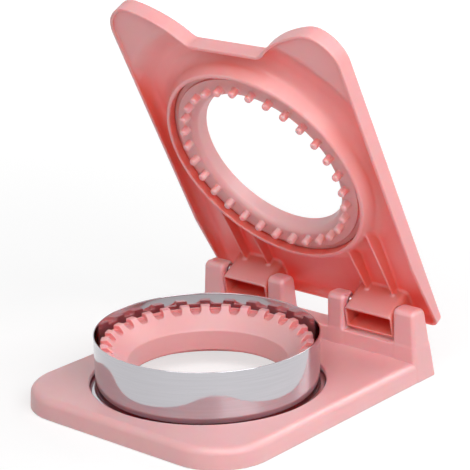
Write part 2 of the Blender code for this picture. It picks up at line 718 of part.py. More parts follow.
def knuckle_ribs():
    bm = bmesh.new()
    wall_y = HINGE_Y - KNUCKLE_FRONT_REACH - KNUCKLE_FRONT_LEAN + KNUCKLE_WALL / 2
    buried = LID_FLOOR + LID_WALL / 2
    middle = (KNUCKLE_INSIDE + KNUCKLE_OUTSIDE) / 2
    places = [side * (middle + half * RIB_SPACING / 2) for side in (-1, 1) for half in (-1, 1)]
    for x in places:
        start = math.sqrt(COLLAR_OUTER_RADIUS**2 - x**2)
        outline = [
            (start, LID_FLOOR - RIB_COLLAR_HEIGHT),
            (wall_y, LID_FLOOR - RIB_KNUCKLE_HEIGHT),
            (wall_y, buried),
            (start, buried),
        ]
        rib = side_slab("rib", outline, x - RIB_THICKNESS / 2, x + RIB_THICKNESS / 2)
        piece = from_bmesh(rib, "rib")
        bm.from_mesh(piece)
        bpy.data.meshes.remove(piece)
    return bm


def to_hinge(bm):
    bmesh.ops.translate(bm, verts=bm.verts, vec=(0, -HINGE_Y, -HINGE_Z))
    return bm


def lid_tool(bm, name, tools, parent):
    return place(from_bmesh(to_hinge(bm), name), name, tools, parent)


def lid_turned(name, profile, collection, parent, closed=True):
    obj = turned(name, profile, collection, parent, closed=closed)
    obj.location = (0, -HINGE_Y, -HINGE_Z)
    return obj


def make_lid_shell(parts, tools, parent, material):
    shell = place(from_bmesh(to_hinge(lid_plate()), "lid_shell"), "lid_shell", parts, parent)
    for name, bm in zip(("ear_recess", "lid_dish", "rim_rise"), lid_recesses()):
        combine(shell, lid_tool(bm, name, tools, parent), "DIFFERENCE")
    combine(shell, lid_turned("collar", collar_profile(), tools, parent), "UNION")
    combine(shell, lid_tool(lid_knuckles(), "knuckles", tools, parent), "UNION", "MANIFOLD")
    combine(shell, lid_tool(knuckle_ribs(), "ribs", tools, parent), "UNION", "MANIFOLD")
    combine(shell, lid_tool(knuckle_pockets(), "pockets", tools, parent), "DIFFERENCE")
    combine(shell, lid_tool(pivot_holes(), "pivot_holes", tools, parent), "DIFFERENCE")
    hole = SPIGOT_RADIUS + SEAT_GAP
    above, below = LID_OUTER_FACE + OVERRUN, LID_FLOOR - OVERRUN
    window = [(0, above), (hole, above), (hole, below), (0, below)]
    combine(shell, lid_turned("window", window, tools, parent, closed=False), "DIFFERENCE")
    return as_part(shell, material)


# Press ring in the lid

def press_profile():
    """A channel that is open towards the lid, with a funnel that runs out through the lid."""
    top = LID_FLOOR - SEAT_GAP
    spigot_top = LID_OUTER_FACE - PRESS_SPIGOT_RECESS
    cone_low = PRESS_LEDGE - PRESS_CONE_RISE
    lean = PRESS_CONE_REACH / (spigot_top - cone_low)
    floor = PRESS_LEDGE + PRESS_WALL
    funnel_back = PRESS_CONE_RADIUS + PRESS_WALL - lean * (floor - cone_low)
    return [
        (PRESS_OUTER_RADIUS, top),
        (PRESS_OUTER_RADIUS, PRESS_LEDGE),
        (PRESS_CONE_RADIUS + PRESS_CONE_RISE, PRESS_LEDGE),
        (PRESS_CONE_RADIUS, cone_low),
        (PRESS_HOLE_RADIUS, spigot_top),
        (SPIGOT_RADIUS, spigot_top),
        (SPIGOT_RADIUS, top),
        (funnel_back, floor),
        (PRESS_OUTER_RADIUS - PRESS_WALL, floor),
        (PRESS_OUTER_RADIUS - PRESS_WALL, top),
    ]


def press_pegs():
    bm = bmesh.new()
    foot = PRESS_LEDGE + PEG_FOOT_DEPTH
    for i in range(CRIMP_COUNT):
        a = 2 * math.pi * (i + 0.5) / CRIMP_COUNT
        x, y = PEG_CIRCLE_RADIUS * math.cos(a), PEG_CIRCLE_RADIUS * math.sin(a)
        bmesh.ops.create_cone(
            bm, cap_ends=True, segments=PEG_STEPS, radius1=PEG_RADIUS, radius2=PEG_RADIUS,
            depth=foot - PEG_TIP, matrix=Matrix.Translation((x, y, (foot + PEG_TIP) / 2)),
        )
    round_edges(bm, at_height(PEG_TIP), PEG_TIP_ROUND, 2)
    return bm


def make_press_ring(parts, tools, parent, material):
    ring = lid_turned("lid_press_ring", press_profile(), parts, parent)
    combine(ring, lid_tool(press_pegs(), "pegs", tools, parent), "UNION")
    return as_part(ring, material)


def rest_middle():
    """Half way between the base's front and the rearmost point of the opened lid."""
    back = LID_REAR - HINGE_Y - LID_OUTER_FILLET
    up = LID_OUTER_FACE - HINGE_Z - LID_OUTER_FILLET
    lid_back = HINGE_Y + back * math.cos(REST_OPENING) + up * math.sin(REST_OPENING) + LID_OUTER_FILLET
    return (max(lid_back, BASE_REAR) - BASE_FRONT) / 2


def main():
    clear_scene()
    parts = new_collection("sandwich_cutter_and_sealer")
    tools = new_collection("cutters", hidden=True)
    pink = plain_material("pink_plastic", (0.79, 0.36, 0.37), 0.42)
    soft_pink = plain_material("seal_pink_plastic", (0.80, 0.38, 0.39), 0.45)
    steel = plain_material("polished_steel", (0.72, 0.72, 0.74), 0.12, 1.0)

    base = bpy.data.objects.new("base", None)
    parts.objects.link(base)
    base.location = (0, -rest_middle(), 0)
    hinge = bpy.data.objects.new("lid_hinge", None)
    parts.objects.link(hinge)
    hinge.parent = base
    hinge.location = (0, HINGE_Y, HINGE_Z)
    hinge.rotation_euler = (-REST_OPENING, 0, 0)

    make_base_shell(parts, tools, base, pink)
    make_hinge_pins(parts, base, steel)
    make_cutter_ring(parts, base, steel)
    make_seal_ring(parts, tools, base, soft_pink)
    make_lid_shell(parts, tools, hinge, pink)
    make_press_ring(parts, tools, hinge, soft_pink)


main()
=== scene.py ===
"""The looks of the sandwich cutter and sealer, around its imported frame.

Each moulded piece is the zero surface of a field of distances, so that its walls run into one
another with the small fillets of a real moulding. Fields are in millimetres in the design frame:
the cutter ring's axis at X = Y = 0, the table at Z = 0, the user at -Y and the lid closed.
"""

import json
import math

import bpy
import numpy as np
from mathutils import Matrix, Vector


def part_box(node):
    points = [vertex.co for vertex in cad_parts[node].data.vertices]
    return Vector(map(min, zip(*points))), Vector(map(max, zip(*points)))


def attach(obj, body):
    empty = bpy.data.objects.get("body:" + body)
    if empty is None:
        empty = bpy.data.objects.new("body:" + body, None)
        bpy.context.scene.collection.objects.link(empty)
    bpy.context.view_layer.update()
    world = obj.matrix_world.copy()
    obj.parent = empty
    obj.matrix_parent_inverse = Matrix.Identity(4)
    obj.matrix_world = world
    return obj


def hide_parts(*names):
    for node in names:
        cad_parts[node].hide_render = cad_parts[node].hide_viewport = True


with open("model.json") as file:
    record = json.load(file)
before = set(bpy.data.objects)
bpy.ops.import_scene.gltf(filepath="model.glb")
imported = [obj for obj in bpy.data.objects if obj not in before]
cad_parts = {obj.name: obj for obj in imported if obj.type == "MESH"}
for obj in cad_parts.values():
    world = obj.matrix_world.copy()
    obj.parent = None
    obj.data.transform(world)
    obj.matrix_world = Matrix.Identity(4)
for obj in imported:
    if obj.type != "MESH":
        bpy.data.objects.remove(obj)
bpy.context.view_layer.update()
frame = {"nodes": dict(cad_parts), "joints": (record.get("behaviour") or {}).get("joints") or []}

MM = 0.001
EDGE_ROUND = 0.3

# Places from the frame
RING_LOW, RING_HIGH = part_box("cutter_ring")
RING_PLACE = Vector(((RING_LOW.x + RING_HIGH.x) / 2, (RING_LOW.y + RING_HIGH.y) / 2, 0))
HINGE = Vector(frame["joints"][0]["pos_m"])
REST_OPENING = math.radians(-frame["joints"][0]["range_deg"][0])
HINGE_Y = (HINGE.y - RING_PLACE.y) / MM
HINGE_Z = HINGE.z / MM

# Cutter ring
RING_FOOT = 4.6
RING_RADIUS = (RING_HIGH.x - RING_LOW.x) / 2 / MM - RING_FOOT
RING_WALL = 0.5
RING_BOTTOM = RING_LOW.z / MM
RING_TOP = RING_HIGH.z / MM
RING_BEND = 0.8
RING_LEAN = 0.35
RING_TURN_STEPS = 256
RING_LIP_STEPS = 6
RING_BEND_STEPS = 5

# Base
BASE_HALF_WIDTH = 58.7
BASE_FRONT = 57.4
BASE_CORNER = 23.5
BASE_TOP = 8.7
BASE_WALL = 2.0
BASE_TOP_ROUND = 2.9
BASE_DRAFT = math.radians(3.6)
OPENING_RADIUS = RING_RADIUS + 2.2
OPENING_ROUND = 0.6
LUG_RADIUS = 3.7
LUG_FRONT_REACH = 6.1
LUG_FRONT_ROUND = 2.8
LUG_BACK_REACH = 3.2
LUG_BACK_RUN = 5.0
LUG_ROUND = 1.8
LUG_WALL = 2.4
INNER_LUG = (12.0, 20.8)
OUTER_LUG_INSIDE = 46.3
SILL_TOP = 15.35
SILL_ROUND = 0.8
SKIRT_BOTTOM = 6.4
HOOKS = 4
HOOK_HALF_WIDTH = 4.5
HOOK_THICKNESS = 1.6
CATCH_REACH = 1.2
CATCH_DROP = 1.0

# Hinge pins
SOCKET_DEPTH = 5.3
PIN_RADIUS = 2.0
PIN_GAP = 0.3
PIN_CORE = 0.01
PIN_CHAMFER = 0.4
PIN_TURN_STEPS = 40

# Seal ring
SEAL_TOP = 25.2
SEAL_OUTER = 43.3
SEAL_FOOT_OUTER = 43.9
SEAL_CREST_INNER = 40.6
SEAL_HOLE = 32.4
SEAL_CONE_FOOT = 17.0
SEAL_WALL = 1.7
SEAL_LOW_EDGE = 8.0
SEAL_FLANGE = (3.9, 5.3)
SEAL_FLANGE_RADIUS = 53.0
CRIMPS = 30
POCKET_CENTRE = 40.2
POCKET_RADIUS = 2.4
POCKET_FLOOR = 22.5
SLOT_FLOOR = 23.7

# Lid
LID_HALF_WIDTH = 58.8
LID_FRONT = 58.2
LID_REAR = 80.5
LID_REAR_CORNER = 4.5
LID_RIM_FACE = 29.6
LID_OUTER_FACE = 36.5
LID_FLOOR = 35.5
LID_RIM_WALL = 1.5
LID_BACK_ROUND = 0.8
LID_LIP_ROUND = 0.35
EAR_TOP = 73.3
EAR_CORNER = 15.0
EAR_SHOULDER = 16.5
EAR_ROOT = (18.3, -58.2)
EAR_FLANK = math.radians(51.1)
EAR_ROOT_ROUND = 1.0
EAR_RECESS = 1.0
DISH_RAMP = (60.0, 72.0)
DISH_COVE = 3.4
DISH_LIP_ROUND = 0.3
RIM_RISE_START = 45.0
RIM_RISE_SLOPE = 3.4 / 35.5
COLLAR_OUTER = 48.2
COLLAR_INNER = 46.6
COLLAR_RIM = 26.4
COLLAR_RIM_ROUND = 0.6
COLLAR_SPREAD = 4.2
COLLAR_FLARE = 4.0
INLAY_COVER = 0.7
WINDOW_RADIUS = 37.2

# Lid's knuckles, whose corners are placed from the hinge axis
KNUCKLE = (21.2, 45.9)
KNUCKLE_FRONT_LOW = (-2.2, -6.0)
KNUCKLE_FRONT_LEAN = 1.9
KNUCKLE_REAR_LOW = (7.4, -8.6)
KNUCKLE_REAR_TOP = (LID_REAR - 0.4, LID_OUTER_FACE - 0.85)
KNUCKLE_WALL = 1.2
KNUCKLE_ROUND = 2.4
KNUCKLE_REAR_ROUND = 0.6
KNUCKLE_LOW_ROUND = 0.35
KNUCKLE_FILLET = 1.3
KNUCKLE_BORE_DEPTH = 1.0
KNUCKLE_BORE_REACH = 2.8

# Lid's ribs
RIBS = (26.8, 40.2)
RIB_HALF_WIDTH = 0.6
RIB_DRAFT = 0.08
RIB_FILLET = 0.9
RIB_CREST = (29.0, 31.8)
RIB_CREST_ROUND = 0.5
RIB_END_REACH = 4.1
RIB_OVERLAPS = (1.5, 0.7)

# Press ring
PRESS_OUTER = 44.3
PRESS_RIM = 46.5
FUNNEL_ROUND = 3.5
FUNNEL_STEPS = 8
PRESS_STEP = 29.9
PRESS_LEDGE = 29.0
PRESS_WALL = 1.8
PRESS_CONE_WALL = 1.0
PRESS_TOP = 34.5
PRESS_HOLE = 34.4
PRESS_CONE = 37.0
PRESS_SPIGOT = 36.9
PRESS_SPIGOT_TOP = 36.2
PEG_CIRCLE = 39.45
PEG_RADIUS = 1.65
PEG_TIP = 24.9
PEG_TIP_ROUND = 1.2
PEG_ROOT = 0.6
PEG_FILLET = 0.35

# Grids of the nets, as joined spans of start, end and greatest step
BASE_GRID = (
    ((-59.6, -54.5, 0.45), (-54.5, 54.5, 0.75), (54.5, 59.6, 0.45)),
    ((-58.3, -50.0, 0.55), (-50.0, 62.0, 0.8), (62.0, 78.5, 0.5)),
    ((-0.6, 9.4, 0.45), (9.4, 32.4, 0.55)),
)
LID_GRID = (
    ((-59.6, -54.5, 0.45), (-54.5, 54.5, 0.88), (54.5, 59.6, 0.45)),
    ((-74.2, -54.0, 0.58), (-54.0, 60.0, 0.84), (60.0, 81.6, 0.52)),
    ((17.6, 26.0, 0.6), (26.0, 37.4, 0.44)),
)
SEAL_RADII = ((31.6, 36.5, 0.7), (36.5, 44.5, 0.38), (44.5, 53.8, 1.0))
SEAL_HEIGHTS = ((3.2, 6.2, 0.5), (6.2, 21.5, 0.8), (21.5, 26.0, 0.34))
SEAL_STEPS_EACH = 17
PRESS_RADII = ((33.6, 47.0, 0.4),)
PRESS_HEIGHTS = ((24.2, 29.8, 0.36), (29.8, 37.0, 0.5))
PRESS_STEPS_EACH = 24

# Settling of the nets
SETTLE_ROUNDS = 3
SETTLE_MOST = 0.35
SLOPE_REACH = 0.02
LEAST_SQUARED_SLOPE = 0.2
TINY = 1e-9

# Plastic
SHELL_PINK = (0.90, 0.46, 0.47)
# The lid's pink is a deeper, redder copy of the shell's pink: painted shade for the lid's shaded
# inside
LID_SHADED_PINK = (0.90, 0.405, 0.412)
# Painted shade colour, mixed into the lid's plastic where its recesses close in
LID_PAINTED_SHADE_PINK = (0.84, 0.17, 0.13)
SEAL_PINK = (0.90, 0.47, 0.48)
# Painted shade colour, mixed into the seal ring's plastic where its recesses close in
SEAL_PAINTED_SHADE_PINK = (0.82, 0.27, 0.27)
PRESS_PINK = (0.90, 0.46, 0.47)
# Painted shade colour, mixed into the press ring's plastic where its recesses close in
PRESS_PAINTED_SHADE_PINK = (0.88, 0.38, 0.37)
SHELL_ROUGHNESS = 0.40
RING_ROUGHNESS = 0.43
PLASTIC_IOR = 1.6
PLASTIC_SPECULAR = 0.9
GLOW_DEPTH = 3.2 * MM
GLOW_REACH_SHARES = (1.0, 0.12, 0.08)
# Painted shade in recesses: the occlusion reach, the span of occlusion it covers, and its samples
PAINTED_SHADE_REACH = 20.0 * MM
PAINTED_SHADE_SHARES = (0.5, 0.97)
PAINTED_SHADE_SAMPLES = 8
CLOUD_SHARES = (0.98, 1.02)
SHEEN_SPREAD = 0.04
GRAIN_HEIGHT = 0.006 * MM

# Steel
SHEET_COLOUR = (0.54, 0.53, 0.56)
SHEET_ROUGHNESS = 0.09
SHEET_WAVE_HEIGHT = 0.06 * MM
PIN_COLOUR = (0.62, 0.62, 0.64)
PIN_ROUGHNESS = 0.25
PIN_WAVE_HEIGHT = 0.005 * MM
LINE_SHARE = 0.94
LINE_SPREAD = 0.03

# Noise, as waves a metre, detail and, for steel, stretch
CLOUD = (45.0, 3.0)
SHEEN = (260.0, 4.0)
GRAIN = (2600.0, 2.0)
LINES = (900.0, 3.0, (0.05, 0.05, 2.0))
WAVES = (60.0, 1.0, (1, 1, 0.4))
NOISE_SPAN = (0.3, 0.7)

# Floor
FLOOR_SIDE = 6.0
FLOOR_HEIGHT = -0.0002
FLOOR_ROUGHNESS = 0.9
FLOOR_SHADE = 0.82
SEEN_FLOOR_SHADE = 0.42
SEEN_FLOOR_GLOW = (0.66, 0.95)
FLOOR_FADE = (0.15, 0.8)

# Light, with each lamp's place, aim, side in metres and power in watts
WORLD_STRENGTH = 0.16
LAMPS = {
    "key": ((0.62, -0.20, 0.50), (0, 0, 0.06), 0.5, 3.4),
    "back": ((0.3, 1.1, 0.7), (0, 0, 0.06), 0.9, 8.5),
    "fill": ((0.10, -0.32, 0.44), (0, 0, 0.12), 0.3, 0.92),
}

# Camera, fitted to the photograph
CAMERA_AZIMUTH = math.radians(40.57)
CAMERA_ELEVATION = math.radians(17.65)
CAMERA_ROLL = math.radians(-1.10)
CAMERA_DISTANCE = 760.5 * MM
CAMERA_TARGET = Vector((13.02, 3.52, 71.22)) * MM
CAMERA_FOCAL_PX = 1927.65
CAMERA_CLIP = 20.0
IMAGE_SIDE_PX = 470.0
SENSOR_MM = 36.0


# Fields of distances

def cut_round(a, b, radius):
    """What lies in both a and b, with the edge between them rounded."""
    corner = np.hypot(np.maximum(a + radius, 0), np.maximum(b + radius, 0))
    return np.minimum(np.maximum(a, b), -radius) + corner


def join_round(a, b, radius):
    """What lies in a or b, with a fillet between them."""
    corner = np.hypot(np.maximum(radius - a, 0), np.maximum(radius - b, 0))
    return np.maximum(np.minimum(a, b), radius) - corner


def cut_all(*fields):
    """What lies in all the fields, with sharp edges."""
    result = fields[0]
    for field in fields[1:]:
        result = np.maximum(result, field)
    return result


def slab(value, span):
    """Distance to what lies between the two ends of a span."""
    return np.abs(value - sum(span) / 2) - (span[1] - span[0]) / 2


def beyond_line(u, v, start, end):
    """Distance to the right of the line from start to end."""
    du, dv = end[0] - start[0], end[1] - start[1]
    return ((u - start[0]) * dv - (v - start[1]) * du) / math.hypot(du, dv)


def outline_distance(u, v, outline):
    """Distance to a closed outline, negative inside it."""
    u, v = np.broadcast_arrays(u, v)
    nearest = np.full(u.shape, np.inf)
    inside = np.zeros(u.shape, bool)
    for (u0, v0), (u1, v1) in zip(outline, outline[1:] + outline[:1]):
        du, dv = u1 - u0, v1 - v0
        along = np.clip(((u - u0) * du + (v - v0) * dv) / (du * du + dv * dv), 0, 1)
        nearest = np.minimum(nearest, (u - u0 - du * along) ** 2 + (v - v0 - dv * along) ** 2)
        if dv:
            inside ^= ((v0 > v) != (v1 > v)) & (u < u0 + du * (v - v0) / dv)
    return np.where(inside, -1, 1) * np.sqrt(nearest)


def about_axis(x, y, count):
    """Outward and sideways from the axis, beside the nearest of so many places round it.

    The first place is half a pitch from +X.
    """
    pitch = 2 * math.pi / count
    angle = np.arctan2(y, x) - pitch / 2
    angle -= pitch * np.round(angle / pitch)
    radius = np.hypot(x, y)
    return radius * np.cos(angle), radius * np.sin(angle)


def near_hinge(y, z):
    return np.hypot(y - HINGE_Y, z - HINGE_Z)


def pin_bores(x, y, z, deep, proud):
    """The four bores on the hinge axis, this deep in the lugs and this far out of them."""
    ax = np.abs(x)
    inner = np.abs(ax - INNER_LUG[1] - (proud - deep) / 2) - (deep + proud) / 2
    outer = np.abs(ax - OUTER_LUG_INSIDE - (deep - proud) / 2) - (deep + proud) / 2
    return np.maximum(near_hinge(y, z) - PIN_RADIUS - PIN_GAP, np.minimum(inner, outer))


def lug_section(y, z):
    """The hinge block from the side, with a round-cornered top and a sloping back."""
    back = HINGE_Y + LUG_BACK_REACH
    front = cut_round(HINGE_Y - LUG_FRONT_REACH - y, z - HINGE_Z - LUG_RADIUS, LUG_FRONT_ROUND)
    slope = beyond_line(y, z, (back + LUG_BACK_RUN, 0), (back, HINGE_Z))
    reach = np.hypot((y - HINGE_Y) / LUG_BACK_REACH, (z - HINGE_Z) / LUG_RADIUS)
    arch = (reach - 1) * LUG_BACK_REACH
    return np.maximum(front, np.where((z > HINGE_Z) & (y > HINGE_Y), arch, slope))


def base_field(x, y, z):
    ax = np.abs(x)
    radius = np.hypot(x, y)
    walls = cut_round(ax - BASE_HALF_WIDTH, -BASE_FRONT - y, BASE_CORNER)
    side = (walls + z * math.tan(BASE_DRAFT)) * math.cos(BASE_DRAFT)
    section = lug_section(y, z)
    lug_faces = np.minimum(slab(ax, INNER_LUG), OUTER_LUG_INSIDE - ax)

    plate = np.maximum(cut_round(side, z - BASE_TOP, BASE_TOP_ROUND), y - HINGE_Y)
    lugs = cut_round(cut_round(section, lug_faces, LUG_ROUND), side, LUG_ROUND)
    sill = cut_round(cut_round(section, z - SILL_TOP, SILL_ROUND), side, LUG_ROUND)
    body = np.minimum(plate, join_round(lugs, sill, SILL_ROUND))

    main = cut_all(side + BASE_WALL, z - BASE_TOP + BASE_WALL, y - HINGE_Y)
    sill_hollow = cut_all(section + BASE_WALL, side + BASE_WALL, z - SILL_TOP + BASE_WALL)
    well_top = HINGE_Z - PIN_RADIUS - LUG_WALL
    wells = cut_all(section + LUG_WALL, side + LUG_WALL, lug_faces + LUG_WALL, z - well_top)
    hollow = np.minimum(np.minimum(main, sill_hollow), wells)
    body = cut_round(body, -hollow, EDGE_ROUND)

    under_plate = z - BASE_TOP + BASE_WALL / 2
    skirt = cut_all(radius - RING_RADIUS - RING_FOOT, SKIRT_BOTTOM - z, under_plate)
    body = np.minimum(np.minimum(body, skirt), seal_hooks(x, y, z))
    body = cut_round(body, OPENING_RADIUS - radius, OPENING_ROUND)
    body = np.maximum(body, -pin_bores(x, y, z, SOCKET_DEPTH, LUG_WALL))
    return cut_round(body, -z, EDGE_ROUND)


def seal_hooks(x, y, z):
    """Fingers under the plate, whose catches hold the seal ring's flange."""
    out, across = about_axis(x, y, HOOKS)
    inner = SEAL_FLANGE_RADIUS + PIN_GAP
    catch_top = SEAL_FLANGE[0] - PIN_GAP
    catch_low = catch_top - CATCH_DROP
    back = out - inner - HOOK_THICKNESS
    finger = cut_all(inner - out, back, catch_low - z, z - BASE_TOP + BASE_WALL / 2)
    slope = beyond_line(out, z, (inner - CATCH_REACH, catch_top), (inner, catch_low))
    catch = cut_all(slope, z - catch_top, back)
    return np.maximum(np.minimum(finger, catch), np.abs(across) - HOOK_HALF_WIDTH)


def seal_field(x, y, z):
    radius = np.hypot(x, y)
    slope = math.atan2(SEAL_TOP - SEAL_CONE_FOOT, SEAL_CREST_INNER - SEAL_HOLE)
    under = SEAL_WALL / math.cos(slope)
    inside = SEAL_OUTER - SEAL_WALL
    valley = SEAL_CONE_FOOT - under + (SEAL_OUTER - 2 * SEAL_WALL - SEAL_HOLE) * math.tan(slope)
    valley = min(valley, POCKET_FLOOR - SEAL_WALL)
    outline = [
        (SEAL_OUTER, SEAL_TOP),
        (SEAL_FOOT_OUTER, SEAL_FLANGE[1]),
        (SEAL_FLANGE_RADIUS, SEAL_FLANGE[1]),
        (SEAL_FLANGE_RADIUS, SEAL_FLANGE[0]),
        (SEAL_FOOT_OUTER - SEAL_WALL, SEAL_FLANGE[0]),
        (inside, valley),
        (SEAL_OUTER - 2 * SEAL_WALL, valley),
        (SEAL_HOLE + SEAL_WALL, SEAL_CONE_FOOT - under + SEAL_WALL * math.tan(slope)),
        (SEAL_HOLE + SEAL_WALL, SEAL_LOW_EDGE),
        (SEAL_HOLE, SEAL_LOW_EDGE),
        (SEAL_HOLE, SEAL_CONE_FOOT),
        (SEAL_CREST_INNER, SEAL_TOP),
    ]
    section = outline_distance(radius, z, outline)
    out, across = about_axis(x, y, CRIMPS)
    pocket = np.hypot(out - POCKET_CENTRE, across) - POCKET_RADIUS
    pocket = np.maximum(pocket, POCKET_FLOOR - z)
    slot = cut_all(np.abs(across) - POCKET_RADIUS, SLOT_FLOOR - z, POCKET_CENTRE - out)
    return cut_round(section, -np.minimum(pocket, slot), EDGE_ROUND)


def lid_outline_distance(ax, y):
    """Distance to the lid's outline: square sides, a straight front and two rounded ears."""
    flank_end = (EAR_ROOT[0] + math.cos(EAR_FLANK), EAR_ROOT[1] - math.sin(EAR_FLANK))
    flank = beyond_line(ax, y, EAR_ROOT, flank_end)
    ear = cut_round(-EAR_TOP - y, flank, EAR_SHOULDER)
    front = join_round(-LID_FRONT - y, ear, EAR_ROOT_ROUND)
    front = cut_round(front, ax - LID_HALF_WIDTH, EAR_CORNER)
    return cut_round(front, y - LID_REAR, LID_REAR_CORNER)


def knuckle_walls(y, z):
    """Front, rear and open lower end of a knuckle, as three slanting planes."""
    front_low = (HINGE_Y + KNUCKLE_FRONT_LOW[0], HINGE_Z + KNUCKLE_FRONT_LOW[1])
    rear_low = (HINGE_Y + KNUCKLE_REAR_LOW[0], HINGE_Z + KNUCKLE_REAR_LOW[1])
    front_top = (front_low[0] - KNUCKLE_FRONT_LEAN, LID_FLOOR)
    front = beyond_line(y, z, front_top, front_low)
    rear = beyond_line(y, z, rear_low, KNUCKLE_REAR_TOP)
    low = beyond_line(y, z, front_low, rear_low)
    return front, rear, low


def lid_ribs(ax, y, z):
    """Two ribs to each knuckle, whose crests slope from the collar's rim to the knuckle."""
    ribs = np.inf
    end = HINGE_Y - RIB_END_REACH
    for place in RIBS:
        start = math.sqrt(COLLAR_OUTER**2 - place**2)
        crest = RIB_CREST[0] + (RIB_CREST[1] - RIB_CREST[0]) * (y - start) / (end - start)
        side = np.abs(ax - place) - RIB_HALF_WIDTH - RIB_DRAFT * np.maximum(z - crest, 0)
        rib = cut_round(side, crest - z, RIB_CREST_ROUND)
        rib = cut_all(rib, start - RIB_OVERLAPS[0] - y, y - end - RIB_OVERLAPS[1])
        ribs = np.minimum(ribs, rib)
    return ribs


def lid_tray(radius, y, z, rim):
    """The lid's plate, hollowed by a dish that is shallow at the ears."""
    rim_face = LID_RIM_FACE + RIM_RISE_SLOPE * np.maximum(y - RIM_RISE_START, 0)
    plate = cut_round(rim, z - LID_OUTER_FACE, LID_BACK_ROUND)
    plate = cut_round(plate, rim_face - z, LID_LIP_ROUND)
    start, end = DISH_RAMP
    share = np.clip((np.where(y < 0, radius, 0) - start) / (end - start), 0, 1)
    depth = LID_FLOOR - LID_RIM_FACE
    depth = depth + (EAR_RECESS - depth) * share**2 * (3 - 2 * share)
    cove = np.clip(depth - EDGE_ROUND, 0, DISH_COVE)
    dish = cut_round(rim + LID_RIM_WALL, z - LID_RIM_FACE - depth, cove)
    return cut_round(plate, -dish, DISH_LIP_ROUND)


def lid_collar(radius, ax, y, z, rim):
    """The collar's flare and the ribs, on a floor that stays under the plate's outer face."""
    spread = COLLAR_SPREAD / (LID_FLOOR - COLLAR_RIM)
    cone = (radius - COLLAR_OUTER - spread * (z - COLLAR_RIM)) / math.hypot(1, spread)
    flare = join_round(LID_FLOOR - z, cone, COLLAR_FLARE)
    flare = join_round(flare, lid_ribs(ax, y, z), RIB_FILLET)
    inlay = cut_all(flare, rim + LID_RIM_WALL / 2, z - LID_OUTER_FACE + INLAY_COVER)
    return cut_round(inlay, COLLAR_RIM - z, COLLAR_RIM_ROUND)


def lid_field(x, y, z):
    ax = np.abs(x)
    radius = np.hypot(x, y)
    rim = lid_outline_distance(ax, y)
    shell = np.minimum(lid_tray(radius, y, z, rim), lid_collar(radius, ax, y, z, rim))

    front, rear, low = knuckle_walls(y, z)
    sides = slab(ax, KNUCKLE)
    knuckle = cut_round(front, sides, KNUCKLE_ROUND)
    knuckle = cut_round(knuckle, rear, KNUCKLE_REAR_ROUND)
    knuckle = cut_round(knuckle, low, KNUCKLE_LOW_ROUND)
    knuckle = np.maximum(knuckle, z - LID_OUTER_FACE + INLAY_COVER)
    shell = join_round(shell, knuckle, KNUCKLE_FILLET)
    shell = np.maximum(shell, np.minimum(rim, rear))
    walls = [wall + KNUCKLE_WALL for wall in (front, rear, sides)]
    shell = cut_round(shell, -cut_all(*walls, z - LID_FLOOR), EDGE_ROUND)
    shell = np.maximum(shell, -pin_bores(x, y, z, KNUCKLE_BORE_DEPTH, KNUCKLE_BORE_REACH))

    groove = np.maximum(radius - COLLAR_INNER, z - LID_FLOOR)
    for cut in (-groove, WINDOW_RADIUS - radius, z - LID_OUTER_FACE):
        shell = cut_round(shell, cut, EDGE_ROUND)
    return shell


def press_field(x, y, z):
    radius = np.hypot(x, y)
    lean = math.atan2(PRESS_CONE - PRESS_HOLE, PRESS_SPIGOT_TOP - PRESS_LEDGE)
    rise = FUNNEL_ROUND * (1 + math.sin(lean))
    out = PRESS_CONE - rise * math.tan(lean) + FUNNEL_ROUND * math.cos(lean)
    funnel_centre = (out, PRESS_LEDGE + FUNNEL_ROUND)
    outline = [
        (PRESS_RIM, PRESS_TOP),
        (PRESS_RIM, PRESS_STEP),
        (PRESS_OUTER, PRESS_STEP),
        (PRESS_OUTER, PRESS_LEDGE),
        *arc(funnel_centre, FUNNEL_ROUND, 270, 180 + math.degrees(lean), FUNNEL_STEPS),
        (PRESS_HOLE, PRESS_SPIGOT_TOP),
        (PRESS_SPIGOT, PRESS_SPIGOT_TOP),
        (PRESS_SPIGOT, PRESS_TOP),
        (PRESS_CONE + PRESS_CONE_WALL, PRESS_LEDGE + PRESS_WALL),
        (PRESS_OUTER - PRESS_WALL, PRESS_LEDGE + PRESS_WALL),
        (PRESS_OUTER - PRESS_WALL, PRESS_TOP),
    ]
    section = outline_distance(radius, z, outline)
    out, across = about_axis(x, y, CRIMPS)
    peg = np.hypot(out - PEG_CIRCLE, across) - PEG_RADIUS
    peg = cut_round(peg, PEG_TIP - z, PEG_TIP_ROUND)
    peg = np.maximum(peg, z - PRESS_LEDGE - PEG_ROOT)
    return join_round(section, peg, PEG_FILLET)


# Surfaces of fields

def stops(spans):
    """Grid lines over joined spans, each given as (start, end, greatest step)."""
    lines = [np.linspace(a, b, math.ceil((b - a) / step), endpoint=False) for a, b, step in spans]
    return np.concatenate(lines + [[spans[-1][1]]])


def box_grid(spans_each):
    return tuple(stops(spans) for spans in spans_each)


def ring_grid(radii, heights, steps_each):
    """A grid of radii, angles and heights, with so many angles to each crimp."""
    angles = np.linspace(0, 2 * math.pi, CRIMPS * steps_each + 1)
    return stops(radii), angles, stops(heights)


def flat_space(x, y, z):
    return x, y, z


def round_space(radius, angle, z):
    return radius * np.cos(angle), radius * np.sin(angle), z


def cells_beside(edges, axis, shape, wraps):
    """The four cells round each grid edge along an axis, in turning order."""
    u, v = (axis + 1) % 3, (axis + 2) % 3
    for du, dv in ((0, 0), (-1, 0), (-1, -1), (0, -1)):
        cell = edges.copy()
        cell[:, u] += du
        cell[:, v] += dv
        if wraps:
            cell[:, 1] %= shape[1]
        yield np.ravel_multi_index(tuple(cell.T), shape)


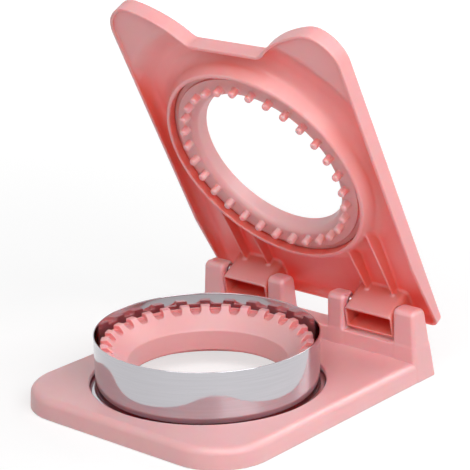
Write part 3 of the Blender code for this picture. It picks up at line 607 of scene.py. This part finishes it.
def net_surface(field, grid, space, wraps):
    """A net of quads with one point in each grid cell that the field's zero surface crosses."""
    lines = np.meshgrid(*grid, indexing="ij", sparse=True)
    values = np.broadcast_to(field(*space(*lines)), tuple(len(g) for g in grid))
    shape = tuple(n - 1 for n in values.shape)
    sums = np.zeros((4, math.prod(shape)))
    quads = []
    for axis in range(3):
        ends = [slice(None)] * 3
        ends[axis] = slice(None, -1)
        before = values[tuple(ends)]
        ends[axis] = slice(1, None)
        after = values[tuple(ends)]
        edges = np.argwhere((before < 0) != (after < 0))
        if wraps and axis != 1:
            edges = edges[edges[:, 1] < shape[1]]
        first, second = before[tuple(edges.T)], after[tuple(edges.T)]
        places = [grid[k][edges[:, k]] for k in range(3)]
        step = grid[axis][edges[:, axis] + 1] - places[axis]
        places[axis] = places[axis] + first / (first - second) * step
        weights = np.stack([*space(*places), np.ones(len(edges))])
        corners = list(cells_beside(edges, axis, shape, wraps))
        for cell in corners:
            for total, weight in zip(sums, weights):
                total += np.bincount(cell, weight, len(total))
        quad = np.stack(corners, axis=1)
        quads.append(np.where((first < 0)[:, None], quad, quad[:, ::-1]))
    used = np.flatnonzero(sums[3])
    number = np.zeros(sums.shape[1], int)
    number[used] = np.arange(len(used))
    return sums[:3, used] / sums[3, used], number[np.concatenate(quads)]


def slope_of(field, points):
    """The field's gradient at points, in millimetres."""
    parts = []
    for axis in range(3):
        offset = np.zeros((3, 1))
        offset[axis] = SLOPE_REACH
        rise = field(*(points + offset)) - field(*(points - offset))
        parts.append(rise / (2 * SLOPE_REACH))
    return np.stack(parts)


def settle(field, points):
    """Points moved onto the field's zero surface, and the surface's normals there."""
    for _ in range(SETTLE_ROUNDS):
        slope = slope_of(field, points)
        squared = np.maximum((slope**2).sum(axis=0), LEAST_SQUARED_SLOPE)
        move = -slope * field(*points) / squared
        length = np.maximum(np.sqrt((move**2).sum(axis=0)), TINY)
        points = points + move * np.minimum(1, SETTLE_MOST / length)
    slope = slope_of(field, points)
    return points, slope / np.maximum(np.sqrt((slope**2).sum(axis=0)), TINY)


def new_piece(name, mesh):
    piece = bpy.data.objects.new(name, mesh)
    bpy.context.scene.collection.objects.link(piece)
    return piece


def moulded(name, field, grid, place, space=flat_space, wraps=False):
    """A piece made from a field in the design frame, and placed by a matrix."""
    points, quads = net_surface(field, grid, space, wraps)
    points, normals = settle(field, points)
    matrix = np.array(place)
    points = matrix[:3, :3] @ (points * MM) + matrix[:3, 3:]
    normals = matrix[:3, :3] @ normals
    mesh = bpy.data.meshes.new(name)
    mesh.from_pydata(points.T.tolist(), [], quads.tolist())
    mesh.shade_smooth()
    mesh.normals_split_custom_set_from_vertices(normals.T.tolist())
    return new_piece(name, mesh)


def turned(name, profile, place, steps):
    """A closed profile of (radius, height) points in millimetres, turned about Z."""
    mesh = bpy.data.meshes.new(name)
    count = len(profile)
    sides = [(i, (i + 1) % count) for i in range(count)]
    mesh.from_pydata([(r * MM, 0, z * MM) for r, z in profile], sides, [])
    piece = new_piece(name, mesh)
    piece.matrix_world = place
    screw = piece.modifiers.new("turn", "SCREW")
    screw.axis = "Z"
    screw.steps = screw.render_steps = steps
    screw.use_merge_vertices = True
    screw.merge_threshold = 0.001 * MM
    screw.use_smooth_shade = True
    return piece


def arc(centre, radius, start, end, steps):
    """Points along an arc, from one angle in degrees to another."""
    angles = np.radians(np.linspace(start, end, steps + 1))
    return [(centre[0] + radius * math.cos(a), centre[1] + radius * math.sin(a)) for a in angles]


def straight(start, end, reach=0.3):
    """Two points near the ends of a straight wall, which keep its shading free of the rounds."""
    share = reach / math.dist(start, end)
    return [tuple(a + (b - a) * s for a, b in zip(start, end)) for s in (share, 1 - share)]


# Materials

def new_material(name):
    material = bpy.data.materials.new(name)
    material.use_nodes = True
    nodes = material.node_tree.nodes
    return material, nodes, material.node_tree.links, nodes["Principled BSDF"]


def noise(nodes, links, scale, detail, stretch=(1, 1, 1)):
    """Noise in the object's own coordinates, scale in waves a metre."""
    place = nodes.new("ShaderNodeTexCoord")
    mapping = nodes.new("ShaderNodeMapping")
    mapping.inputs["Scale"].default_value = stretch
    texture = nodes.new("ShaderNodeTexNoise")
    texture.inputs["Scale"].default_value = scale
    texture.inputs["Detail"].default_value = detail
    links.new(place.outputs["Object"], mapping.inputs["Vector"])
    links.new(mapping.outputs["Vector"], texture.inputs["Vector"])
    return texture.outputs["Fac"]


def ramp(nodes, links, value, low, high):
    """A colour from low to high as the value goes over the span of a noise."""
    node = nodes.new("ShaderNodeValToRGB")
    for element, position, colour in zip(node.color_ramp.elements, NOISE_SPAN, (low, high)):
        element.position = position
        element.color = (*colour, 1)
    links.new(value, node.inputs["Fac"])
    return node.outputs["Color"]


def uneven_roughness(nodes, links, value, roughness, spread, shader):
    smooth, rough = (roughness - spread,) * 3, (roughness + spread,) * 3
    links.new(ramp(nodes, links, value, smooth, rough), shader.inputs["Roughness"])


def bump(nodes, links, value, height, shader):
    node = nodes.new("ShaderNodeBump")
    node.inputs["Strength"].default_value = 1.0
    node.inputs["Distance"].default_value = height
    links.new(value, node.inputs["Height"])
    links.new(node.outputs["Normal"], shader.inputs["Normal"])


def mapped(nodes, links, value, source, target=(0.0, 1.0)):
    """The value carried from the source range to the target range, and held at its ends."""
    node = nodes.new("ShaderNodeMapRange")
    for name, number in zip(("From Min", "From Max", "To Min", "To Max"), source + target):
        node.inputs[name].default_value = number
    links.new(value, node.inputs["Value"])
    return node.outputs["Result"]


def mixed_number(nodes, links, share, low, high):
    mix = nodes.new("ShaderNodeMix")
    mix.data_type = "FLOAT"
    mix.inputs["A"].default_value = low
    mix.inputs["B"].default_value = high
    links.new(share, mix.inputs["Factor"])
    return mix.outputs["Result"]


def combined(nodes, links, operation, first, second):
    """A number worked out from two others."""
    node = nodes.new("ShaderNodeMath")
    node.operation = operation
    links.new(first, node.inputs[0])
    links.new(second, node.inputs[1])
    return node.outputs["Value"]


def painted_recess_shade(nodes, links, open_colour, painted_shade_colour):
    """The open colour, painted deeper as shade where walls of the same plastic close a place in."""
    closeness = nodes.new("ShaderNodeAmbientOcclusion")
    closeness.samples = PAINTED_SHADE_SAMPLES
    closeness.inputs["Distance"].default_value = PAINTED_SHADE_REACH
    mix = nodes.new("ShaderNodeMix")
    mix.data_type = "RGBA"
    mix.inputs["A"].default_value = (*painted_shade_colour, 1)
    links.new(open_colour, mix.inputs["B"])
    openness = mapped(nodes, links, closeness.outputs["AO"], PAINTED_SHADE_SHARES)
    links.new(openness, mix.inputs["Factor"])
    return mix.outputs["Result"]


def plastic(name, colour, roughness, painted_shade_colour=None):
    """Satin moulded plastic that lets red light through.

    It is faintly cloudy, with an uneven sheen and a fine grain; given a shade colour, its recesses
    get painted shade.
    """
    material, nodes, links, shader = new_material(name)
    deep, pale = (tuple(c * share for c in colour) for share in CLOUD_SHARES)
    surface = ramp(nodes, links, noise(nodes, links, *CLOUD), deep, pale)
    # Painted shade: a deeper colour mixed in where the plastic's recesses close in
    if painted_shade_colour:
        surface = painted_recess_shade(nodes, links, surface, painted_shade_colour)
    links.new(surface, shader.inputs["Base Color"])
    sheen = noise(nodes, links, *SHEEN)
    uneven_roughness(nodes, links, sheen, roughness, SHEEN_SPREAD, shader)
    bump(nodes, links, noise(nodes, links, *GRAIN), GRAIN_HEIGHT, shader)
    shader.inputs["IOR"].default_value = PLASTIC_IOR
    shader.inputs["Specular IOR Level"].default_value = PLASTIC_SPECULAR
    shader.inputs["Subsurface Weight"].default_value = 1.0
    shader.inputs["Subsurface Scale"].default_value = GLOW_DEPTH
    shader.inputs["Subsurface Radius"].default_value = GLOW_REACH_SHARES
    return material


def polished_steel(name, colour, roughness, wave_height):
    """Polished steel: slow waves left by the rolling, and faint lines round the ring."""
    material, nodes, links, shader = new_material(name)
    shader.inputs["Metallic"].default_value = 1.0
    lines = noise(nodes, links, *LINES)
    dull = tuple(c * LINE_SHARE for c in colour)
    links.new(ramp(nodes, links, lines, dull, colour), shader.inputs["Base Color"])
    uneven_roughness(nodes, links, lines, roughness, LINE_SPREAD, shader)
    bump(nodes, links, noise(nodes, links, *WAVES), wave_height, shader)
    return material


# Pieces

def dress(piece, material, body, slot_name, *nodes):
    """Give a piece its material and body, and hide the CAD nodes that it stands for."""
    piece.data.materials.append(material)
    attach(piece, body)
    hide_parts(*nodes)


def make_base(place, pink):
    shell = moulded("base_housing", base_field, box_grid(BASE_GRID), place)
    dress(shell, pink, "base", "pink_plastic", "base_shell")


def make_seal_ring(place, pink):
    grid = ring_grid(SEAL_RADII, SEAL_HEIGHTS, SEAL_STEPS_EACH)
    ring = moulded("crimping_ring", seal_field, grid, place, round_space, True)
    dress(ring, pink, "base", "seal_pink_plastic", "base_seal_ring")


def make_cutter_ring(place, steel):
    """A rolled upper edge, a wall that leans in towards its foot, and the foot folded out."""
    low = RING_RADIUS - RING_LEAN
    inner, half = low - RING_WALL, RING_WALL / 2
    edge = RING_RADIUS + RING_FOOT
    bend = RING_BEND + RING_WALL
    lip = arc((RING_RADIUS - half, RING_TOP - half), half, 180, 0, RING_LIP_STEPS)
    foot = arc((low + RING_BEND, RING_BOTTOM + bend), RING_BEND, 180, 270, RING_BEND_STEPS)
    foot += [(edge, RING_BOTTOM + RING_WALL), (edge, RING_BOTTOM)]
    foot += arc((inner + bend, RING_BOTTOM + bend), bend, 270, 180, RING_BEND_STEPS)
    profile = lip + straight(lip[-1], foot[0]) + foot + straight(foot[-1], lip[0])
    ring = turned("steel_cutter", profile, place, RING_TURN_STEPS)
    dress(ring, steel, "base", "polished_steel", "cutter_ring")


def make_pins(steel):
    """A pin with chamfered ends over each CAD pin."""
    for node in sorted(n for n in frame["nodes"] if n.startswith("hinge_pin")):
        low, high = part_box(node)
        end = (high.x - low.x) / 2 / MM
        face, shoulder = PIN_RADIUS - PIN_CHAMFER, end - PIN_CHAMFER
        profile = [(PIN_CORE, end), (face, end), (PIN_RADIUS, shoulder)]
        profile += [(PIN_RADIUS, -shoulder), (face, -end), (PIN_CORE, -end)]
        place = Matrix.Translation((low + high) / 2) @ Matrix.Rotation(math.radians(90), 4, "Y")
        pin = turned(node.replace("hinge_pin", "pivot_pin"), profile, place, PIN_TURN_STEPS)
        dress(pin, steel, "base", "hinge_pin_steel", node)


def make_lid(place, pink):
    shell = moulded("lid_housing", lid_field, box_grid(LID_GRID), place)
    dress(shell, pink, "lid", "pink_plastic", "lid_shell")


def make_press_ring(place, pink):
    grid = ring_grid(PRESS_RADII, PRESS_HEIGHTS, PRESS_STEPS_EACH)
    ring = moulded("pegged_ring", press_field, grid, place, round_space, True)
    dress(ring, pink, "lid", "seal_pink_plastic", "lid_press_ring")


# Studio

def seen_or_reflected(nodes, links):
    """One where a surface is seen, directly or in a mirror, and nought for the light it sends."""
    path = nodes.new("ShaderNodeLightPath")
    camera_ray, glossy_ray = path.outputs["Is Camera Ray"], path.outputs["Is Glossy Ray"]
    return combined(nodes, links, "MAXIMUM", camera_ray, glossy_ray)


def make_floor():
    """A pale floor that keeps a soft shadow, and is seen fading to white with distance."""
    bpy.ops.mesh.primitive_plane_add(size=FLOOR_SIDE, location=(0, 0, FLOOR_HEIGHT))
    floor = bpy.context.object
    floor.name = "studio_floor"
    material, nodes, links, shader = new_material("studio_white")
    seen = seen_or_reflected(nodes, links)
    shade = mixed_number(nodes, links, seen, FLOOR_SHADE, SEEN_FLOOR_SHADE)
    links.new(shade, shader.inputs["Base Color"])
    shader.inputs["Roughness"].default_value = FLOOR_ROUGHNESS
    shader.inputs["Specular IOR Level"].default_value = 0.0
    place = nodes.new("ShaderNodeTexCoord")
    distance = nodes.new("ShaderNodeVectorMath")
    distance.operation = "LENGTH"
    links.new(place.outputs["Object"], distance.inputs[0])
    fade = mapped(nodes, links, distance.outputs["Value"], FLOOR_FADE, SEEN_FLOOR_GLOW)
    glow = nodes.new("ShaderNodeEmission")
    links.new(combined(nodes, links, "MULTIPLY", seen, fade), glow.inputs["Strength"])
    add = nodes.new("ShaderNodeAddShader")
    links.new(shader.outputs["BSDF"], add.inputs[0])
    links.new(glow.outputs["Emission"], add.inputs[1])
    links.new(add.outputs["Shader"], nodes["Material Output"].inputs["Surface"])
    floor.data.materials.append(material)


def make_world(strength):
    """A world that is seen white and lights the object at a strength of its own."""
    world = bpy.data.worlds.new("studio")
    bpy.context.scene.world = world
    world.use_nodes = True
    nodes, links = world.node_tree.nodes, world.node_tree.links
    background = nodes["Background"]
    seen = seen_or_reflected(nodes, links)
    links.new(mixed_number(nodes, links, seen, strength, 1.0), background.inputs["Strength"])
    background.inputs["Color"].default_value = (1, 1, 1, 1)


def softbox(name, place, aim, side, power):
    light = bpy.data.lights.new(name, "AREA")
    light.shape = "RECTANGLE"
    light.size = light.size_y = side
    light.energy = power
    lamp = bpy.data.objects.new(name, light)
    lamp.location = place
    lamp.rotation_euler = (Vector(aim) - Vector(place)).to_track_quat("-Z", "Y").to_euler()
    bpy.context.scene.collection.objects.link(lamp)


def make_camera():
    az, el = CAMERA_AZIMUTH, CAMERA_ELEVATION
    back = Vector((math.sin(az) * math.cos(el), -math.cos(az) * math.cos(el), math.sin(el)))
    right = Vector((math.cos(az), math.sin(az), 0))
    up = back.cross(right)
    rolled_right = math.cos(CAMERA_ROLL) * right + math.sin(CAMERA_ROLL) * up
    rolled_up = math.cos(CAMERA_ROLL) * up - math.sin(CAMERA_ROLL) * right
    camera = bpy.data.objects.new("camera", bpy.data.cameras.new("camera"))
    camera.data.sensor_width = SENSOR_MM
    camera.data.lens = CAMERA_FOCAL_PX / IMAGE_SIDE_PX * SENSOR_MM
    camera.data.clip_end = CAMERA_CLIP
    turn = Matrix((rolled_right, rolled_up, back)).transposed().to_4x4()
    place = CAMERA_TARGET + RING_PLACE + back * CAMERA_DISTANCE
    camera.matrix_world = Matrix.Translation(place) @ turn
    bpy.context.scene.collection.objects.link(camera)
    bpy.context.scene.camera = camera


def main():
    base_place = Matrix.Translation(RING_PLACE)
    closed_hinge = Vector((0, HINGE_Y, HINGE_Z)) * MM
    lid_place = (
        Matrix.Translation(HINGE)
        @ Matrix.Rotation(-REST_OPENING, 4, "X")
        @ Matrix.Translation(-closed_hinge)
    )
    pink = plastic("pink_plastic_satin", SHELL_PINK, SHELL_ROUGHNESS)
    # The lid's and the rings' plastics carry painted shade in their recesses
    lid_pink = plastic("lid_pink_plastic_satin_painted_shade", LID_SHADED_PINK, SHELL_ROUGHNESS, LID_PAINTED_SHADE_PINK)
    seal_pink = plastic("seal_pink_plastic_satin_painted_shade", SEAL_PINK, RING_ROUGHNESS, SEAL_PAINTED_SHADE_PINK)
    press_pink = plastic("press_pink_plastic_satin_painted_shade", PRESS_PINK, RING_ROUGHNESS, PRESS_PAINTED_SHADE_PINK)
    sheet = polished_steel("polished_steel_sheet", SHEET_COLOUR, SHEET_ROUGHNESS, SHEET_WAVE_HEIGHT)
    pin_steel = polished_steel("pin_steel", PIN_COLOUR, PIN_ROUGHNESS, PIN_WAVE_HEIGHT)

    make_base(base_place, pink)
    make_seal_ring(base_place, seal_pink)
    make_cutter_ring(base_place, sheet)
    make_pins(pin_steel)
    make_lid(lid_place, lid_pink)
    make_press_ring(lid_place, press_pink)

    make_floor()
    make_world(WORLD_STRENGTH)
    for name, lamp in LAMPS.items():
        softbox(name, *lamp)
    make_camera()
    bpy.context.scene.view_settings.view_transform = "Standard"


main()
